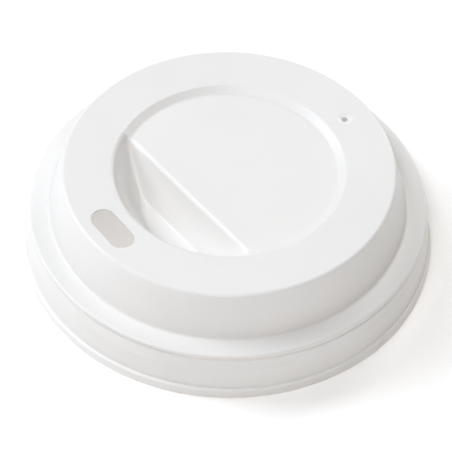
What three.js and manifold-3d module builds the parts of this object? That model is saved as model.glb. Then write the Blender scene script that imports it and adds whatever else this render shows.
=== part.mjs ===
// Sip lid for a takeaway coffee cup: one thin moulded sheet of white plastic.
// Units are millimetres, +Z is up and the origin is at the centre of the base.
// The drinking side faces -Y, and the vent is almost opposite it.
import * as THREE from 'three';
import * as BufferGeometryUtils from 'three/addons/utils/BufferGeometryUtils.js';
import Module from 'manifold-3d';

const wasm = await Module();
wasm.setup();

// Overall sizes
const BASE_RADIUS = 41.85;
const LID_HEIGHT = 21.3;
const SHEET = 0.5;
const WHITE = 0xf4f3f1;

// Rounded lip round the bottom edge
const LIP_HEIGHT = 2.3;
const LIP_OVERHANG = 0.7;
const LIP_FOOT_FILLET = 0.45;
const LIP_TOP_FILLET = 0.55;
const SKIRT_FOOT_RADIUS = BASE_RADIUS - LIP_OVERHANG;

// Flat shelf that rests on the cup's rim, with a rounded edge over a groove
const SHELF_HEIGHT = 11.1;
const SHELF_WIDTH = 4.2;
const SHELF_EDGE_HEIGHT = 1.2;
const SHELF_FILLET = 0.45;

// Skirt that closes over the cup's rolled rim, with a collar that leans in to the groove
const SKIRT_LEAN = 0.2;
const COLLAR_LEAN = 0.6;
const COLLAR_HEIGHT = 2.3;
const GROOVE_DEPTH = 0.3;
const GROOVE_RISE = 0.3;
const SHELF_OVERHANG = 0.35;
const SKIRT_TOP_RADIUS = SKIRT_FOOT_RADIUS - SKIRT_LEAN;
const COLLAR_TOP_RADIUS = SKIRT_TOP_RADIUS - COLLAR_LEAN;
const GROOVE_RADIUS = COLLAR_TOP_RADIUS - GROOVE_DEPTH;
const SHELF_RADIUS = GROOVE_RADIUS + SHELF_OVERHANG;
const GROOVE_HEIGHT = SHELF_HEIGHT - SHELF_EDGE_HEIGHT;
const COLLAR_TOP_HEIGHT = GROOVE_HEIGHT - GROOVE_RISE;
const SKIRT_TOP_HEIGHT = COLLAR_TOP_HEIGHT - COLLAR_HEIGHT;

// Raised drinking rim, whose wall leans in from the shelf
const RIM_LEAN = 2.6;
const RIM_FILLET = 0.9;
const SHELF_INNER_RADIUS = SHELF_RADIUS - SHELF_WIDTH;
const RIM_RADIUS = SHELF_INNER_RADIUS - RIM_LEAN;
const RIM_WALL_DRAFT = Math.atan2(RIM_LEAN, LID_HEIGHT - SHELF_HEIGHT);

// Round recess inside the flat top ring, with a shallow floor and a deep pocket for the lips
const TOP_RING_WIDTH = 9.9;
const RECESS_RADIUS = RIM_RADIUS - TOP_RING_WIDTH;
const RECESS_TOP_FILLET = 0.7;
const FLOOR_DEPTH = 1;
const FLOOR_WALL_TILT = THREE.MathUtils.degToRad(30);
const FLOOR_FILLET = 1.2;
const POCKET_DEPTH = 10.2;
const POCKET_FILLET = 0.8;
const POCKET_WALL_DRAFT = THREE.MathUtils.degToRad(30);

// Straight step between the shallow floor and the pocket
const POCKET_REACH = 13.3;
const STEP_OFFSET = RECESS_RADIUS - POCKET_REACH;
const STEP_DRAFT = THREE.MathUtils.degToRad(17);
const STEP_TOP_FILLET = 0.8;
const STEP_FOOT_FILLET = 0.4;

// Stadium hole to drink through, in the top ring
const SIP_LENGTH = 11.3;
const SIP_WIDTH = 5.05;
const SIP_LAND = 2;
const SIP_OFFSET = RECESS_RADIUS + SIP_LAND + SIP_WIDTH / 2;
const SIP_TURN = THREE.MathUtils.degToRad(-1.9);

// Small round vent in a shallow dish, in the top ring
const VENT_RADIUS = 0.65;
const VENT_LAND = 3.9;
const VENT_OFFSET = RECESS_RADIUS + VENT_LAND;
const VENT_AZIMUTH = THREE.MathUtils.degToRad(83.2);
const DISH_RADIUS = 1.6;
const DISH_DEPTH = 0.25;

// Fineness of the round shapes
const ROUND_SEGMENTS = 80;
const HOLE_SEGMENTS = 24;
const ARC_STEPS = 3;

// How far a cutter runs past the face that it cuts
const OVERCUT = 1;
const QUARTER_TURN = Math.PI / 2;

// Centre of the fillet between the rim's leaning wall and the flat top
const RIM_ARC_RADIUS = RIM_RADIUS - RIM_FILLET * Math.tan((QUARTER_TURN - RIM_WALL_DRAFT) / 2);

// Points along an arc in the plane of a section, both ends included.
function arc(centreX, centreY, radius, fromAngle, toAngle, steps = ARC_STEPS) {
  const points = [];
  for (let i = 0; i <= steps; i += 1) {
    const angle = fromAngle + ((toAngle - fromAngle) * i) / steps;
    points.push(new THREE.Vector2(centreX + radius * Math.cos(angle), centreY + radius * Math.sin(angle)));
  }
  return points;
}

function point(x, y) {
  return new THREE.Vector2(x, y);
}

// Turns a closed three.js geometry into a solid: shared vertices are merged and flat triangles dropped.
function toSolid(geometry) {
  const bare = geometry.clone();
  bare.deleteAttribute('normal');
  bare.deleteAttribute('uv');
  const merged = BufferGeometryUtils.mergeVertices(bare, 1e-4);
  const index = merged.index.array;
  const triangles = [];
  for (let i = 0; i < index.length; i += 3) {
    const [a, b, c] = [index[i], index[i + 1], index[i + 2]];
    if (a !== b && b !== c && c !== a) {
      triangles.push(a, b, c);
    }
  }
  return new wasm.Manifold(new wasm.Mesh({
    numProp: 3,
    vertProperties: new Float32Array(merged.attributes.position.array),
    triVerts: new Uint32Array(triangles),
  }));
}

// A solid of revolution about Z from (radius, height) points that start and end on the axis, lowest first.
function turned(points, segments = ROUND_SEGMENTS) {
  const geometry = new THREE.LatheGeometry(points, segments);
  geometry.rotateX(QUARTER_TURN);
  return toSolid(geometry);
}

// The outside of the lid as if it were a full block.
function outsideBlock() {
  return turned([
    point(0, 0),
    ...arc(BASE_RADIUS - LIP_FOOT_FILLET, LIP_FOOT_FILLET, LIP_FOOT_FILLET, -QUARTER_TURN, 0),
    ...arc(BASE_RADIUS - LIP_TOP_FILLET, LIP_HEIGHT - LIP_TOP_FILLET, LIP_TOP_FILLET, 0, QUARTER_TURN),
    point(SKIRT_FOOT_RADIUS, LIP_HEIGHT),
    point(SKIRT_TOP_RADIUS, SKIRT_TOP_HEIGHT),
    point(COLLAR_TOP_RADIUS, COLLAR_TOP_HEIGHT),
    point(GROOVE_RADIUS, GROOVE_HEIGHT),
    ...arc(SHELF_RADIUS - SHELF_FILLET, SHELF_HEIGHT - SHELF_FILLET, SHELF_FILLET, 0, QUARTER_TURN),
    point(SHELF_INNER_RADIUS, SHELF_HEIGHT),
    ...arc(RIM_ARC_RADIUS, LID_HEIGHT - RIM_FILLET, RIM_FILLET, RIM_WALL_DRAFT, QUARTER_TURN),
    point(0, LID_HEIGHT),
  ]);
}

// The hollow under the lid, one sheet thickness inside the outside block.
function insideBlock() {
  const shelfUnderside = SHELF_HEIGHT - SHEET;
  const wallShift = SHEET * (1 / Math.cos(RIM_WALL_DRAFT) - Math.tan(RIM_WALL_DRAFT));
  return turned([
    point(0, -OVERCUT),
    point(SKIRT_FOOT_RADIUS - SHEET, -OVERCUT),
    point(SKIRT_FOOT_RADIUS - SHEET, LIP_HEIGHT),
    point(SKIRT_TOP_RADIUS - SHEET, SKIRT_TOP_HEIGHT),
    point(COLLAR_TOP_RADIUS - SHEET, COLLAR_TOP_HEIGHT - SHEET / 2),
    point(GROOVE_RADIUS - SHEET, GROOVE_HEIGHT - SHEET / 2),
    point(GROOVE_RADIUS - SHEET, shelfUnderside),
    point(SHELF_INNER_RADIUS - wallShift, shelfUnderside),
    ...arc(RIM_ARC_RADIUS, LID_HEIGHT - RIM_FILLET, RIM_FILLET - SHEET, RIM_WALL_DRAFT, QUARTER_TURN),
    point(0, LID_HEIGHT - SHEET),
  ]);
}

// The space over the shallow floor. The offset grows it by a sheet thickness for the underside.
function floorSpace(offset) {
  const topArcZ = LID_HEIGHT - RECESS_TOP_FILLET;
  const fillets = FLOOR_FILLET + RECESS_TOP_FILLET;
  const wallLength = (FLOOR_DEPTH - fillets * (1 - Math.cos(FLOOR_WALL_TILT))) / Math.sin(FLOOR_WALL_TILT);
  const footArcRadius = RECESS_RADIUS - fillets * Math.sin(FLOOR_WALL_TILT)
    - wallLength * Math.cos(FLOOR_WALL_TILT);
  const floorZ = LID_HEIGHT - FLOOR_DEPTH;
  return turned([
    point(0, floorZ - offset),
    ...arc(footArcRadius, floorZ + FLOOR_FILLET, FLOOR_FILLET + offset, -QUARTER_TURN, FLOOR_WALL_TILT - QUARTER_TURN),
    ...arc(RECESS_RADIUS, topArcZ, RECESS_TOP_FILLET - offset, QUARTER_TURN + FLOOR_WALL_TILT, QUARTER_TURN),
    point(RECESS_RADIUS, LID_HEIGHT + OVERCUT),
    point(0, LID_HEIGHT + OVERCUT),
  ]);
}

// The round outline of the pocket, over the whole circle.
function pocketBowl(offset) {
  const draft = POCKET_WALL_DRAFT;
  const topArcZ = LID_HEIGHT - RECESS_TOP_FILLET;
  const bottomZ = LID_HEIGHT - POCKET_DEPTH;
  const footArcZ = bottomZ + POCKET_FILLET;
  const drop = topArcZ - footArcZ;
  const footArcRadius = RECESS_RADIUS
    - (RECESS_TOP_FILLET + POCKET_FILLET + drop * Math.sin(draft)) / Math.cos(draft);
  return turned([
    point(0, bottomZ - offset),
    ...arc(footArcRadius, footArcZ, POCKET_FILLET + offset, -QUARTER_TURN, -draft),
    ...arc(RECESS_RADIUS, topArcZ, RECESS_TOP_FILLET - offset, Math.PI - draft, QUARTER_TURN),
    point(RECESS_RADIUS, LID_HEIGHT + OVERCUT),
    point(0, LID_HEIGHT + OVERCUT),
  ]);
}

// The side of the recess beyond the straight step, as a long bar whose section is rounded at the
// step's top and foot.
function pocketSide(offset) {
  const slope = STEP_DRAFT;
  const floorZ = LID_HEIGHT - FLOOR_DEPTH;
  const bottomZ = LID_HEIGHT - POCKET_DEPTH;
  const topArcX = STEP_OFFSET - (STEP_TOP_FILLET * (1 - Math.sin(slope))) / Math.cos(slope);
  const footDrop = floorZ - bottomZ - STEP_FOOT_FILLET;
  const footArcX = STEP_OFFSET + (STEP_FOOT_FILLET + footDrop * Math.sin(slope)) / Math.cos(slope);
  const outline = new THREE.Shape([
    ...arc(topArcX, floorZ - STEP_TOP_FILLET, STEP_TOP_FILLET - offset, QUARTER_TURN, slope),
    ...arc(footArcX, bottomZ + STEP_FOOT_FILLET, STEP_FOOT_FILLET + offset, Math.PI + slope, 3 * QUARTER_TURN),
    point(RECESS_RADIUS + OVERCUT, bottomZ - offset),
    point(RECESS_RADIUS + OVERCUT, LID_HEIGHT + OVERCUT),
    point(topArcX, LID_HEIGHT + OVERCUT),
  ]);
  const length = 2 * (RECESS_RADIUS + OVERCUT);
  const geometry = new THREE.ExtrudeGeometry(outline, { depth: length, bevelEnabled: false });
  geometry.translate(0, 0, -length / 2);
  geometry.rotateX(QUARTER_TURN);
  geometry.rotateZ(-QUARTER_TURN);
  return toSolid(geometry);
}

function recessSpace(offset) {
  return floorSpace(offset).add(pocketBowl(offset).intersect(pocketSide(offset)));
}

function sipHole() {
  const half = (SIP_LENGTH - SIP_WIDTH) / 2;
  const outline = new THREE.Shape([
    ...arc(half, 0, SIP_WIDTH / 2, -QUARTER_TURN, QUARTER_TURN, HOLE_SEGMENTS / 2),
    ...arc(-half, 0, SIP_WIDTH / 2, QUARTER_TURN, 3 * QUARTER_TURN, HOLE_SEGMENTS / 2),
  ]);
  const depth = SHEET + 2 * OVERCUT;
  const geometry = new THREE.ExtrudeGeometry(outline, { depth, bevelEnabled: false });
  geometry.translate(0, -SIP_OFFSET, LID_HEIGHT - SHEET - OVERCUT);
  geometry.rotateZ(SIP_TURN);
  return toSolid(geometry);
}

function ventHole() {
  const hole = turned([
    point(0, LID_HEIGHT - SHEET - OVERCUT),
    point(VENT_RADIUS, LID_HEIGHT - SHEET - OVERCUT),
    point(VENT_RADIUS, LID_HEIGHT - DISH_DEPTH),
    point(DISH_RADIUS, LID_HEIGHT),
    point(DISH_RADIUS, LID_HEIGHT + OVERCUT),
    point(0, LID_HEIGHT + OVERCUT),
  ], HOLE_SEGMENTS);
  return hole.translate(VENT_OFFSET * Math.cos(VENT_AZIMUTH), VENT_OFFSET * Math.sin(VENT_AZIMUTH), 0);
}

function lidSolid() {
  const outer = outsideBlock().subtract(recessSpace(0));
  const inner = insideBlock().subtract(recessSpace(SHEET));
  return outer.subtract(inner).subtract(sipHole()).subtract(ventHole());
}

function toGeometry(solid) {
  const mesh = solid.getMesh();
  const geometry = new THREE.BufferGeometry();
  geometry.setAttribute('position', new THREE.BufferAttribute(new Float32Array(mesh.vertProperties), 3));
  geometry.setIndex(new THREE.BufferAttribute(new Uint32Array(mesh.triVerts), 1));
  geometry.computeVertexNormals();
  return geometry;
}

const plastic = new THREE.MeshStandardMaterial({ color: WHITE, roughness: 0.42, metalness: 0 });
const lid = new THREE.Mesh(toGeometry(lidSolid()), plastic);
lid.name = 'lid';

const model = new THREE.Group();
model.add(lid);

export default model;
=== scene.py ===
"""Dresses the coffee cup lid: one thin sheet of white plastic, on a bright white table in soft light.

Lengths are millimetres here, as in the part's own source, and become metres in the meshes.
"""
import math

import bmesh
import bpy
import numpy as np
from mathutils import Matrix, Vector


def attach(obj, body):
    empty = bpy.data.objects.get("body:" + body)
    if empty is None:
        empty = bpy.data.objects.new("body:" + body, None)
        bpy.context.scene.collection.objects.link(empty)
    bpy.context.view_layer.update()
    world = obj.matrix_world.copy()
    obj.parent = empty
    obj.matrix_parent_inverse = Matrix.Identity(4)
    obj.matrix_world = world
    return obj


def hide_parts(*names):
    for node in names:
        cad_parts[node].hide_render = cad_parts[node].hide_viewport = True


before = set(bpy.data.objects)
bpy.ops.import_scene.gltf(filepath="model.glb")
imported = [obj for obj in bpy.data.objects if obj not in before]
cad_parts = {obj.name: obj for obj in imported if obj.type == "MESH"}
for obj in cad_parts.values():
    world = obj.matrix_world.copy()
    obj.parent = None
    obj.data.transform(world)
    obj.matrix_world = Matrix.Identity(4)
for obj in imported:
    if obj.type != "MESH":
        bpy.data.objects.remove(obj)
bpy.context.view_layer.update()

MM = 0.001

# Overall sizes
BASE_RADIUS = 41.85
LID_HEIGHT = 21.3
SHEET = 0.5

# Rounded lip round the bottom edge
LIP_HEIGHT = 2.3
LIP_OVERHANG = 0.7
LIP_FOOT_FILLET = 0.45
LIP_TOP_FILLET = 0.55
SKIRT_FOOT_RADIUS = BASE_RADIUS - LIP_OVERHANG

# Flat shelf that rests on the cup's rim, with a rounded edge over a groove
SHELF_HEIGHT = 11.1
SHELF_WIDTH = 4.2
SHELF_EDGE_HEIGHT = 1.2
SHELF_FILLET = 0.45
SHELF_FOOT_FILLET = 0.6

# Skirt, with a collar that leans in to the groove
SKIRT_LEAN = 0.2
COLLAR_LEAN = 0.6
COLLAR_HEIGHT = 2.3
GROOVE_DEPTH = 0.3
GROOVE_RISE = 0.3
SHELF_OVERHANG = 0.35
SKIRT_TOP_RADIUS = SKIRT_FOOT_RADIUS - SKIRT_LEAN
COLLAR_TOP_RADIUS = SKIRT_TOP_RADIUS - COLLAR_LEAN
GROOVE_RADIUS = COLLAR_TOP_RADIUS - GROOVE_DEPTH
SHELF_RADIUS = GROOVE_RADIUS + SHELF_OVERHANG
GROOVE_HEIGHT = SHELF_HEIGHT - SHELF_EDGE_HEIGHT
COLLAR_TOP_HEIGHT = GROOVE_HEIGHT - GROOVE_RISE
SKIRT_TOP_HEIGHT = COLLAR_TOP_HEIGHT - COLLAR_HEIGHT

# Raised drinking rim, whose wall leans in from the shelf
RIM_LEAN = 2.6
RIM_FILLET = 0.9
SHELF_INNER_RADIUS = SHELF_RADIUS - SHELF_WIDTH
RIM_RADIUS = SHELF_INNER_RADIUS - RIM_LEAN
RIM_WALL_DRAFT = math.atan2(RIM_LEAN, LID_HEIGHT - SHELF_HEIGHT)

# Round recess inside the flat top ring, with a shallow floor and a deep pocket for the lips
TOP_RING_WIDTH = 9.9
RECESS_RADIUS = RIM_RADIUS - TOP_RING_WIDTH
RECESS_TOP_FILLET = 0.7
FLOOR_DEPTH = 1.0
FLOOR_WALL_TILT = math.radians(30)
FLOOR_FILLET = 1.2
POCKET_DEPTH = 10.2
POCKET_FILLET = 0.8
POCKET_WALL_DRAFT = math.radians(30)
FLOOR_HEIGHT = LID_HEIGHT - FLOOR_DEPTH
POCKET_HEIGHT = LID_HEIGHT - POCKET_DEPTH

# Straight step between the shallow floor and the pocket
POCKET_REACH = 13.3
STEP_OFFSET = RECESS_RADIUS - POCKET_REACH
STEP_DRAFT = math.radians(17)
STEP_TOP_FILLET = 0.8
STEP_FOOT_FILLET = 0.4
STEP_END_FILLET = 1.0

# The step's top fillet fades out between these distances from the recess's edge
RIDGE_FADE = (2.6, 0.8)

# Stadium hole to drink through, in the top ring
SIP_LENGTH = 11.3
SIP_WIDTH = 5.05
SIP_LAND = 2.0
SIP_OFFSET = RECESS_RADIUS + SIP_LAND + SIP_WIDTH / 2
SIP_TURN = math.radians(-1.9)

# Small round vent in a shallow dish, in the top ring
VENT_RADIUS = 0.65
VENT_LAND = 3.9
VENT_OFFSET = RECESS_RADIUS + VENT_LAND
VENT_AZIMUTH = math.radians(83.2)
DISH_RADIUS = 1.6
DISH_DEPTH = 0.25

# Softened corners that only this mesh has
CREASE_FILLET = 0.25
FINE_FILLET = 0.12

# The section starts and ends on the flat ring, this far inside the rim's fillet
FLAT_MARGIN = 0.25

# Fineness of the mesh
ROUND_SEGMENTS = 256
RECESS_RINGS = 110
RAYS_FROM_STEP = POCKET_REACH / 2.7
HOLE_SEGMENTS = 48
ARC_STEP = math.radians(9)

# The photograph's camera, in the lid's frame
LENS = 210.97
SENSOR = 36.0
IMAGE_PIXELS = 452
CAMERA_DISTANCE = 546.0
CAMERA_AZIMUTH = math.radians(-39.2)
CAMERA_ELEVATION = math.radians(47.96)
CAMERA_ROLL = math.radians(1.63)
ORIGIN_RIGHT_PIXELS = 0.97
ORIGIN_DOWN_PIXELS = 12.9

# Soft lights, in metres
SOFTBOX_SIZE = 0.5
SOFTBOX_DISTANCE = 1.0
INNER_LIGHT_SIZE = 0.07
INNER_LIGHT_HEIGHT = 0.0015


# Small helpers for sections

def unit(vector):
    return vector / np.linalg.norm(vector)


def left_of(direction):
    return np.array([-direction[1], direction[0]])


def rounded_path(corners):
    """(points, normals) along straight runs between corners (x, y, fillet). Normals point left."""
    places = [np.array(corner[:2], float) for corner in corners]
    points, normals = [], []
    last = len(corners) - 1
    for i, corner in enumerate(corners):
        place = places[i]
        ahead = unit(places[i + 1] - place) if i < last else None
        behind = unit(place - places[i - 1]) if i > 0 else None
        if ahead is None or behind is None:
            points.append(place)
            normals.append(left_of(behind if ahead is None else ahead))
            continue
        turn = math.atan2(behind[0] * ahead[1] - behind[1] * ahead[0], float(behind @ ahead))
        fillet = corner[2]
        tangent = fillet * math.tan(abs(turn) / 2)
        side = 1 if turn > 0 else -1
        centre = place - behind * tangent + left_of(behind) * fillet * side
        steps = max(2, math.ceil(abs(turn) / ARC_STEP))
        for k in range(steps + 1):
            angle = turn * k / steps
            heading = np.array([
                behind[0] * math.cos(angle) - behind[1] * math.sin(angle),
                behind[0] * math.sin(angle) + behind[1] * math.cos(angle),
            ])
            normal = left_of(heading)
            points.append(centre - normal * fillet * side)
            normals.append(normal)
    return np.array(points), np.array(normals)


# A mesh that grows loop by loop

class Shell:
    """Vertices with their own normals, and faces between closed loops of them."""

    def __init__(self):
        self.points = []
        self.normals = []
        self.faces = []
        self.fills = []

    def loop(self, points, normals):
        start = len(self.points)
        self.points.extend(map(tuple, points))
        self.normals.extend(map(tuple, normals))
        return list(range(start, len(self.points)))

    def bridge(self, first, second):
        count = len(first)
        for k in range(count):
            after = (k + 1) % count
            self.faces.append((first[k], second[k], second[after], first[after]))

    def fan(self, middle, ring):
        count = len(ring)
        for k in range(count):
            self.faces.append((middle, ring[k], ring[(k + 1) % count]))

    def fill(self, loops, up):
        """A flat face bounded by the loops: the first is the outside, the others are holes."""
        self.fills.append((loops, up))

    def build(self, name):
        sheet = bmesh.new()
        corners = [sheet.verts.new([c * MM for c in p]) for p in self.points]
        for face in self.faces:
            sheet.faces.new([corners[i] for i in face])
        for loops, up in self.fills:
            fill_flat(sheet, corners, loops, up)
        mesh = bpy.data.meshes.new(name)
        sheet.verts.index_update()
        sheet.to_mesh(mesh)
        sheet.free()
        mesh.polygons.foreach_set("use_smooth", [True] * len(mesh.polygons))
        mesh.normals_split_custom_set_from_vertices(self.normals)
        return bpy.data.objects.new(name, mesh)


def fill_flat(sheet, corners, loops, up):
    edges = []
    for loop in loops:
        for k, index in enumerate(loop):
            pair = (corners[index], corners[loop[(k + 1) % len(loop)]])
            edges.append(sheet.edges.get(pair) or sheet.edges.new(pair))
    made = bmesh.ops.triangle_fill(sheet, use_beauty=True, use_dissolve=False, edges=edges)
    for face in made["geom"]:
        if isinstance(face, bmesh.types.BMFace):
            face.normal_update()
            if (face.normal.z > 0) != up:
                face.normal_flip()


def turned_loops(shell, points, normals, centre=(0.0, 0.0), segments=ROUND_SEGMENTS):
    """One ring of vertices for each (radius, height) of a section, about a vertical axis."""
    angles = np.arange(segments) * (2 * math.pi / segments)
    cosines, sines = np.cos(angles), np.sin(angles)
    loops = []
    for (radius, height), (outward, upward) in zip(points, normals):
        ring = np.column_stack([
            centre[0] + radius * cosines,
            centre[1] + radius * sines,
            np.full(segments, height),
        ])
        facing = np.column_stack([outward * cosines, outward * sines, np.full(segments, upward)])
        loops.append(shell.loop(ring, facing))
    return loops


def bridge_all(shell, loops):
    for first, second in zip(loops, loops[1:]):
        shell.bridge(first, second)


# Outer section of the lid, from the top ring over the shelf and skirt to the underside

def side_section():
    slope = math.tan(RIM_WALL_DRAFT)
    under_shelf = SHELF_HEIGHT - SHEET
    wall_shift = SHEET * (1 / math.cos(RIM_WALL_DRAFT) - slope)
    rim_tangent = RIM_FILLET * math.tan((math.pi / 2 - RIM_WALL_DRAFT) / 2)
    ring_edge = RIM_RADIUS - rim_tangent - FLAT_MARGIN
    inner_rim = RIM_RADIUS - SHEET * (1 - math.sin(RIM_WALL_DRAFT)) / math.cos(RIM_WALL_DRAFT)
    inner_foot = SKIRT_FOOT_RADIUS - SHEET
    half = SHEET / 2
    return rounded_path([
        (ring_edge, LID_HEIGHT, 0),
        (RIM_RADIUS, LID_HEIGHT, RIM_FILLET),
        (SHELF_INNER_RADIUS, SHELF_HEIGHT, SHELF_FOOT_FILLET),
        (SHELF_RADIUS, SHELF_HEIGHT, SHELF_FILLET),
        (SHELF_RADIUS, GROOVE_HEIGHT + SHELF_OVERHANG, CREASE_FILLET / 2),
        (GROOVE_RADIUS, GROOVE_HEIGHT, FINE_FILLET),
        (COLLAR_TOP_RADIUS, COLLAR_TOP_HEIGHT, FINE_FILLET),
        (SKIRT_TOP_RADIUS, SKIRT_TOP_HEIGHT, CREASE_FILLET),
        (SKIRT_FOOT_RADIUS, LIP_HEIGHT, FINE_FILLET),
        (BASE_RADIUS, LIP_HEIGHT, LIP_TOP_FILLET - FINE_FILLET),
        (BASE_RADIUS, 0, LIP_FOOT_FILLET),
        (inner_foot, 0, CREASE_FILLET),
        (inner_foot, LIP_HEIGHT, CREASE_FILLET),
        (SKIRT_TOP_RADIUS - SHEET, SKIRT_TOP_HEIGHT, CREASE_FILLET),
        (COLLAR_TOP_RADIUS - SHEET, COLLAR_TOP_HEIGHT - half, FINE_FILLET),
        (GROOVE_RADIUS - SHEET, GROOVE_HEIGHT - half, FINE_FILLET),
        (GROOVE_RADIUS - SHEET, under_shelf, FINE_FILLET),
        (SHELF_INNER_RADIUS - wall_shift, under_shelf, CREASE_FILLET),
        (inner_rim, LID_HEIGHT - SHEET, RIM_FILLET - SHEET),
        (ring_edge, LID_HEIGHT - SHEET, 0),
    ])


# Recess: the air over the sheet, as distances that are positive in the air

def unite(first, second, fillet):
    """Either air, with the edge between them rounded."""
    corner = np.hypot(np.maximum(fillet + first, 0), np.maximum(fillet + second, 0))
    return np.minimum(-fillet, np.maximum(first, second)) + corner


def overlap(first, second, fillet):
    """Both airs at once, with the corner between them filled in round."""
    corner = np.hypot(np.maximum(fillet - first, 0), np.maximum(fillet - second, 0))
    return np.maximum(fillet, np.minimum(first, second)) - corner


def ease(value, low, high):
    t = np.clip((value - low) / (high - low), 0, 1)
    return t * t * (3 - 2 * t)


def air_over_floor(radius, height):
    """Over the shallow floor and its sloping wall, with a fillet at the wall's foot and top."""
    sine, cosine = math.sin(FLOOR_WALL_TILT), math.cos(FLOOR_WALL_TILT)
    fillets = FLOOR_FILLET + RECESS_TOP_FILLET
    wall_run = (FLOOR_DEPTH - fillets * (1 - cosine)) * cosine / sine
    foot = RECESS_RADIUS - fillets * sine - wall_run
    along_foot = np.clip(radius - foot, 0, FLOOR_FILLET * sine)
    along_top = np.clip(RECESS_RADIUS - radius, 0, RECESS_TOP_FILLET * sine)
    along_wall = np.clip(radius - foot - FLOOR_FILLET * sine, 0, wall_run)
    foot_rise = FLOOR_FILLET - np.sqrt(FLOOR_FILLET ** 2 - along_foot ** 2)
    wall_rise = along_wall * sine / cosine
    top_rise = np.sqrt(RECESS_TOP_FILLET ** 2 - along_top ** 2) - RECESS_TOP_FILLET * cosine
    surface = FLOOR_HEIGHT + foot_rise + wall_rise + top_rise
    steepness = np.minimum(along_foot / FLOOR_FILLET, along_top / RECESS_TOP_FILLET)
    return (height - surface) * np.sqrt(1 - steepness ** 2)


def air_in_pocket(radius, toward_sip, height):
    draft = POCKET_WALL_DRAFT
    wall = (
        (RECESS_RADIUS - radius) * math.cos(draft)
        + (height - LID_HEIGHT + RECESS_TOP_FILLET) * math.sin(draft)
        - RECESS_TOP_FILLET
    )
    step = (
        (toward_sip - STEP_OFFSET) * math.cos(STEP_DRAFT)
        + (height - FLOOR_HEIGHT) * math.sin(STEP_DRAFT)
    )
    low, high = POCKET_HEIGHT + STEP_FOOT_FILLET, POCKET_HEIGHT + 4 * STEP_END_FILLET
    corner = STEP_FOOT_FILLET + (STEP_END_FILLET - STEP_FOOT_FILLET) * ease(height, low, high)
    bowl = overlap(wall, height - POCKET_HEIGHT, POCKET_FILLET)
    pocket = overlap(bowl, step, corner)
    return unite(pocket, height - LID_HEIGHT, RECESS_TOP_FILLET)


def air_over_recess(x, y, height):
    radius = np.hypot(x, y)
    fade_start, fade_end = (RECESS_RADIUS - inset for inset in RIDGE_FADE)
    ridge = STEP_TOP_FILLET * (1 - ease(radius, fade_start, fade_end))
    return unite(air_over_floor(radius, height), air_in_pocket(radius, -y, height), ridge)


def recess_height(x, y):
    """Height of the sheet's top at each place, found by halving."""
    low = np.full(np.shape(x), POCKET_HEIGHT - 1)
    high = np.full(np.shape(x), LID_HEIGHT + 1)
    halvings = 36
    for _ in range(halvings):
        middle = (low + high) / 2
        air = air_over_recess(x, y, middle) > 0
        high = np.where(air, middle, high)
        low = np.where(air, low, middle)
    return (low + high) / 2


def recess_normal(x, y, height):
    step = 1e-3
    across = air_over_recess(x + step, y, height) - air_over_recess(x - step, y, height)
    along = air_over_recess(x, y + step, height) - air_over_recess(x, y - step, height)
    upward = air_over_recess(x, y, height + step) - air_over_recess(x, y, height - step)
    normal = np.stack([across, along, upward], axis=-1)
    return normal / np.linalg.norm(normal, axis=-1, keepdims=True)


def recess_rays():
    """Places on rays from the pocket's middle to the recess's edge, closer together where it bends."""
    trial_steps = 1600
    flat_spacing = 1.1
    bend_spacing = math.radians(5)
    angles = np.arange(ROUND_SEGMENTS) * (2 * math.pi / ROUND_SEGMENTS)
    edge = np.column_stack([np.cos(angles), np.sin(angles)]) * RECESS_RADIUS
    middle = np.array([0.0, -(STEP_OFFSET + RAYS_FROM_STEP)])
    reach = edge - middle
    lengths = np.linalg.norm(reach, axis=1)
    share = np.linspace(0, 1, trial_steps)
    trial = middle + share[None, :, None] * reach[:, None, :]
    height = recess_height(trial[..., 0], trial[..., 1])
    run = np.diff(share)[None, :] * lengths[:, None]
    rise = np.diff(height, axis=1)
    slope = np.arctan2(rise, run)
    bend = np.abs(np.diff(slope, axis=1, append=slope[:, -1:]))
    cost = np.hypot(run, rise) / flat_spacing + bend / bend_spacing
    total = np.concatenate([np.zeros((ROUND_SEGMENTS, 1)), np.cumsum(cost, axis=1)], axis=1)
    wanted = np.linspace(0, 1, RECESS_RINGS + 1)
    chosen = np.stack([np.interp(wanted * row[-1], row, share) for row in total])
    places = middle + chosen[..., None] * reach[:, None, :]
    return places[..., 0], places[..., 1]


def recess_grid():
    """Points and normals of the sheet's top, as (ray, ring, xyz)."""
    x, y = recess_rays()
    height = recess_height(x, y)
    normals = recess_normal(x, y, height)
    height[:, -1] = LID_HEIGHT
    normals[:, -1] = (0, 0, 1)
    return np.stack([x, y, height], axis=-1), normals


def add_recess(shell):
    """Top and underside of the recess. Returns the two loops at its edge."""
    points, normals = recess_grid()
    top = recess_side(shell, points, normals, True)
    under = recess_side(shell, (points - normals * SHEET)[::2, ::2], -normals[::2, ::2], False)
    return top, under


def recess_side(shell, points, normals, up):
    middle = shell.loop([points[0, 0]], [normals[0, 0]])[0]
    loops = [shell.loop(points[:, k], normals[:, k]) for k in range(1, points.shape[1])]
    shell.fan(middle, loops[0] if up else loops[0][::-1])
    for inner, outer in zip(loops, loops[1:]):
        if up:
            shell.bridge(inner, outer)
        else:
            shell.bridge(outer, inner)
    return loops[-1]


# Holes in the top ring

def stadium(half_length, radius):
    """Points and outward directions round a stadium with its long side along X."""
    points, outward = [], []
    quarter = HOLE_SEGMENTS // 2
    for side, start in ((1, -math.pi / 2), (-1, math.pi / 2)):
        for k in range(quarter + 1):
            angle = start + math.pi * k / quarter
            direction = np.array([math.cos(angle), math.sin(angle)])
            points.append(np.array([side * half_length, 0]) + direction * radius)
            outward.append(direction)
    return np.array(points), np.array(outward)


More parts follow.
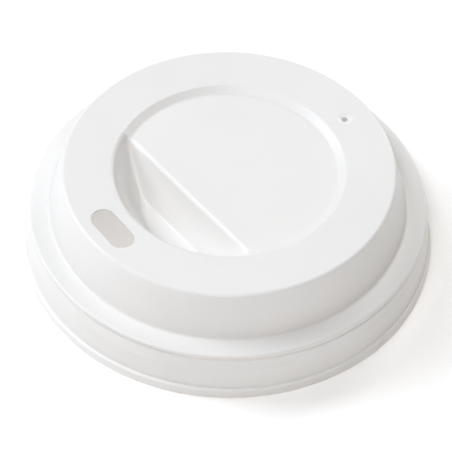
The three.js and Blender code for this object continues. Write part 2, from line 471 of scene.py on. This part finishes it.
def add_sip_hole(shell):
    """The hole's edge, from the top ring to the underside. Returns its first and last loops."""
    half_length = (SIP_LENGTH - SIP_WIDTH) / 2
    radius = SIP_WIDTH / 2
    outline, outward = stadium(half_length, radius)
    cosine, sine = math.cos(SIP_TURN), math.sin(SIP_TURN)
    turn = np.array([[cosine, -sine], [sine, cosine]])
    section, facing = rounded_path([
        (FINE_FILLET * 2, LID_HEIGHT, 0),
        (0, LID_HEIGHT, FINE_FILLET),
        (0, LID_HEIGHT - SHEET, FINE_FILLET),
        (FINE_FILLET * 2, LID_HEIGHT - SHEET, 0),
    ])
    loops = []
    for (away, height), (across, upward) in zip(section, -facing):
        flat = (outline + outward * away + (0, -SIP_OFFSET)) @ turn.T
        ring = np.column_stack([flat, np.full(len(flat), height)])
        turned = np.column_stack([outward @ turn.T * across, np.full(len(flat), upward)])
        loops.append(shell.loop(ring, turned))
    bridge_all(shell, loops[::-1])
    return loops[0], loops[-1]


def add_vent(shell):
    """The shallow dish and the hole in it. Returns its first and last loops."""
    section, facing = rounded_path([
        (DISH_RADIUS + 4 * FINE_FILLET, LID_HEIGHT, 0),
        (DISH_RADIUS, LID_HEIGHT, 2 * FINE_FILLET),
        (VENT_RADIUS, LID_HEIGHT - DISH_DEPTH, FINE_FILLET / 2),
        (VENT_RADIUS, LID_HEIGHT - SHEET, FINE_FILLET / 2),
        (VENT_RADIUS + 2 * FINE_FILLET, LID_HEIGHT - SHEET, 0),
    ])
    centre = (VENT_OFFSET * math.cos(VENT_AZIMUTH), VENT_OFFSET * math.sin(VENT_AZIMUTH))
    loops = turned_loops(shell, section, -facing, centre, HOLE_SEGMENTS)
    bridge_all(shell, loops[::-1])
    return loops[0], loops[-1]


def make_lid():
    shell = Shell()
    side = turned_loops(shell, *side_section())
    bridge_all(shell, side)
    recess_top, recess_under = add_recess(shell)
    sip_top, sip_under = add_sip_hole(shell)
    vent_top, vent_under = add_vent(shell)
    shell.fill([side[0], recess_top, sip_top, vent_top], True)
    shell.fill([side[-1], recess_under, sip_under, vent_under], False)
    return shell.build("moulded_lid")


# Materials

def new_material(name):
    material = bpy.data.materials.new(name)
    material.use_nodes = True
    nodes = material.node_tree.nodes
    return material, nodes, material.node_tree.links, nodes["Principled BSDF"]


def noise(nodes, links, coordinates, scale, detail):
    texture = nodes.new("ShaderNodeTexNoise")
    texture.inputs["Scale"].default_value = scale
    texture.inputs["Detail"].default_value = detail
    links.new(coordinates.outputs["Object"], texture.inputs["Vector"])
    return texture


def ramp(nodes, links, source, low, high, first, last):
    colours = nodes.new("ShaderNodeValToRGB")
    colours.color_ramp.elements[0].position = low
    colours.color_ramp.elements[0].color = first
    colours.color_ramp.elements[1].position = high
    colours.color_ramp.elements[1].color = last
    links.new(source.outputs["Fac"], colours.inputs["Fac"])
    return colours


def white_plastic():
    """Satin white polystyrene: a little light passes into it, with a faint uneven skin."""
    material, nodes, links, shader = new_material("white_polystyrene")
    coordinates = nodes.new("ShaderNodeTexCoord")
    cloud = noise(nodes, links, coordinates, 28.0, 3.0)
    tint = ramp(nodes, links, cloud, 0.3, 0.7, (0.80, 0.79, 0.775, 1), (0.83, 0.822, 0.808, 1))
    links.new(tint.outputs["Color"], shader.inputs["Base Color"])
    shine = nodes.new("ShaderNodeMapRange")
    shine.inputs["To Min"].default_value = 0.34
    shine.inputs["To Max"].default_value = 0.46
    links.new(noise(nodes, links, coordinates, 90.0, 4.0).outputs["Fac"], shine.inputs["Value"])
    links.new(shine.outputs["Result"], shader.inputs["Roughness"])
    skin = nodes.new("ShaderNodeBump")
    skin.inputs["Strength"].default_value = 0.12
    skin.inputs["Distance"].default_value = 0.00004
    links.new(noise(nodes, links, coordinates, 420.0, 4.0).outputs["Fac"], skin.inputs["Height"])
    links.new(skin.outputs["Normal"], shader.inputs["Normal"])
    shader.inputs["IOR"].default_value = 1.5
    shader.inputs["Subsurface Weight"].default_value = 0.35
    shader.inputs["Subsurface Radius"].default_value = (1.0, 0.95, 0.85)
    shader.inputs["Subsurface Scale"].default_value = 0.0012
    return material


def white_table():
    """Matt white, with a weak glow because the photograph's background is over-exposed."""
    material, nodes, links, shader = new_material("white_table")
    coordinates = nodes.new("ShaderNodeTexCoord")
    cloud = noise(nodes, links, coordinates, 5.0, 2.0)
    tint = ramp(nodes, links, cloud, 0.2, 0.8, (0.955, 0.955, 0.95, 1), (0.975, 0.975, 0.97, 1))
    links.new(tint.outputs["Color"], shader.inputs["Base Color"])
    shader.inputs["Roughness"].default_value = 0.9
    shader.inputs["Specular IOR Level"].default_value = 0.1
    shader.inputs["Emission Color"].default_value = (1.0, 0.926, 0.858, 1)
    shader.inputs["Emission Strength"].default_value = 0.124
    return material


# Studio

def toward(azimuth, elevation):
    """Direction from the lid to a light or camera."""
    flat = math.cos(elevation)
    return Vector((flat * math.cos(azimuth), flat * math.sin(azimuth), math.sin(elevation)))


def make_table():
    reach = 1.2
    mesh = bpy.data.meshes.new("table")
    sheet = bmesh.new()
    bmesh.ops.create_grid(sheet, x_segments=8, y_segments=8, size=reach)
    sheet.to_mesh(mesh)
    sheet.free()
    table = bpy.data.objects.new("table", mesh)
    bpy.context.scene.collection.objects.link(table)
    mesh.materials.append(white_table())


def area_light(name, size, watts, colour):
    light = bpy.data.lights.new(name, "AREA")
    light.shape = "DISK"
    light.size = size
    light.energy = watts
    light.color = colour
    lamp = bpy.data.objects.new(name, light)
    bpy.context.scene.collection.objects.link(lamp)
    return lamp


def softbox(name, azimuth, elevation, watts, colour):
    """A wide soft light that faces the lid from the given direction, in degrees."""
    lamp = area_light(name, SOFTBOX_SIZE, watts, colour)
    direction = toward(math.radians(azimuth), math.radians(elevation))
    lamp.location = direction * SOFTBOX_DISTANCE
    lamp.rotation_euler = direction.to_track_quat("Z", "Y").to_euler()


def light_through_sheet():
    """Stands in for the light that comes through the thin sheet, as the sip hole shows it inside."""
    lamp = area_light("light_through_sheet", INNER_LIGHT_SIZE, 0.0065, (0.955, 0.963, 1.0))
    lamp.location = (0.0, 0.0, INNER_LIGHT_HEIGHT)
    lamp.rotation_euler = (math.pi, 0.0, 0.0)
    lamp.visible_camera = False


def make_lights():
    softbox("window_low", 215.8, 35.0, 4.06, (0.96, 0.973, 1.0))
    softbox("window_high", 200.8, 50.0, 2.72, (0.846, 0.916, 1.0))
    softbox("ceiling", 290.8, 72.0, 3.13, (0.891, 0.962, 1.0))
    softbox("room_front", 320.8, 50.0, 3.20, (1.0, 0.913, 0.884))
    softbox("room_back", 110.8, 25.0, 3.85, (1.0, 0.967, 0.937))
    light_through_sheet()
    world = bpy.data.worlds.new("white_room")
    world.use_nodes = True
    backdrop = world.node_tree.nodes["Background"]
    backdrop.inputs["Color"].default_value = (1.0, 0.995, 0.985, 1)
    backdrop.inputs["Strength"].default_value = 0.02
    bpy.context.scene.world = world


def make_camera():
    """Stands where the photograph was taken from. The lid's origin is a few pixels off the middle."""
    direction = toward(CAMERA_AZIMUTH, CAMERA_ELEVATION)
    level = Vector((-math.sin(CAMERA_AZIMUTH), math.cos(CAMERA_AZIMUTH), 0))
    upright = direction.cross(level)
    right = level * math.cos(CAMERA_ROLL) + upright * math.sin(CAMERA_ROLL)
    up = upright * math.cos(CAMERA_ROLL) - level * math.sin(CAMERA_ROLL)
    pixel = CAMERA_DISTANCE * SENSOR / (LENS * IMAGE_PIXELS)
    place = (
        direction * CAMERA_DISTANCE
        - right * ORIGIN_RIGHT_PIXELS * pixel
        + up * ORIGIN_DOWN_PIXELS * pixel
    ) * MM
    camera = bpy.data.objects.new("camera", bpy.data.cameras.new("camera"))
    camera.data.lens = LENS
    camera.data.sensor_width = SENSOR
    camera.data.clip_start = 0.01
    camera.data.clip_end = 10.0
    turn = Matrix((right, up, direction)).transposed()
    camera.matrix_world = Matrix.Translation(place) @ turn.to_4x4()
    bpy.context.scene.collection.objects.link(camera)
    bpy.context.scene.camera = camera


make_camera()
make_table()
make_lights()
bpy.context.scene.view_settings.view_transform = "Standard"

lid = make_lid()
bpy.context.scene.collection.objects.link(lid)
lid.data.materials.append(white_plastic())
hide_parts("lid")
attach(lid, "root")
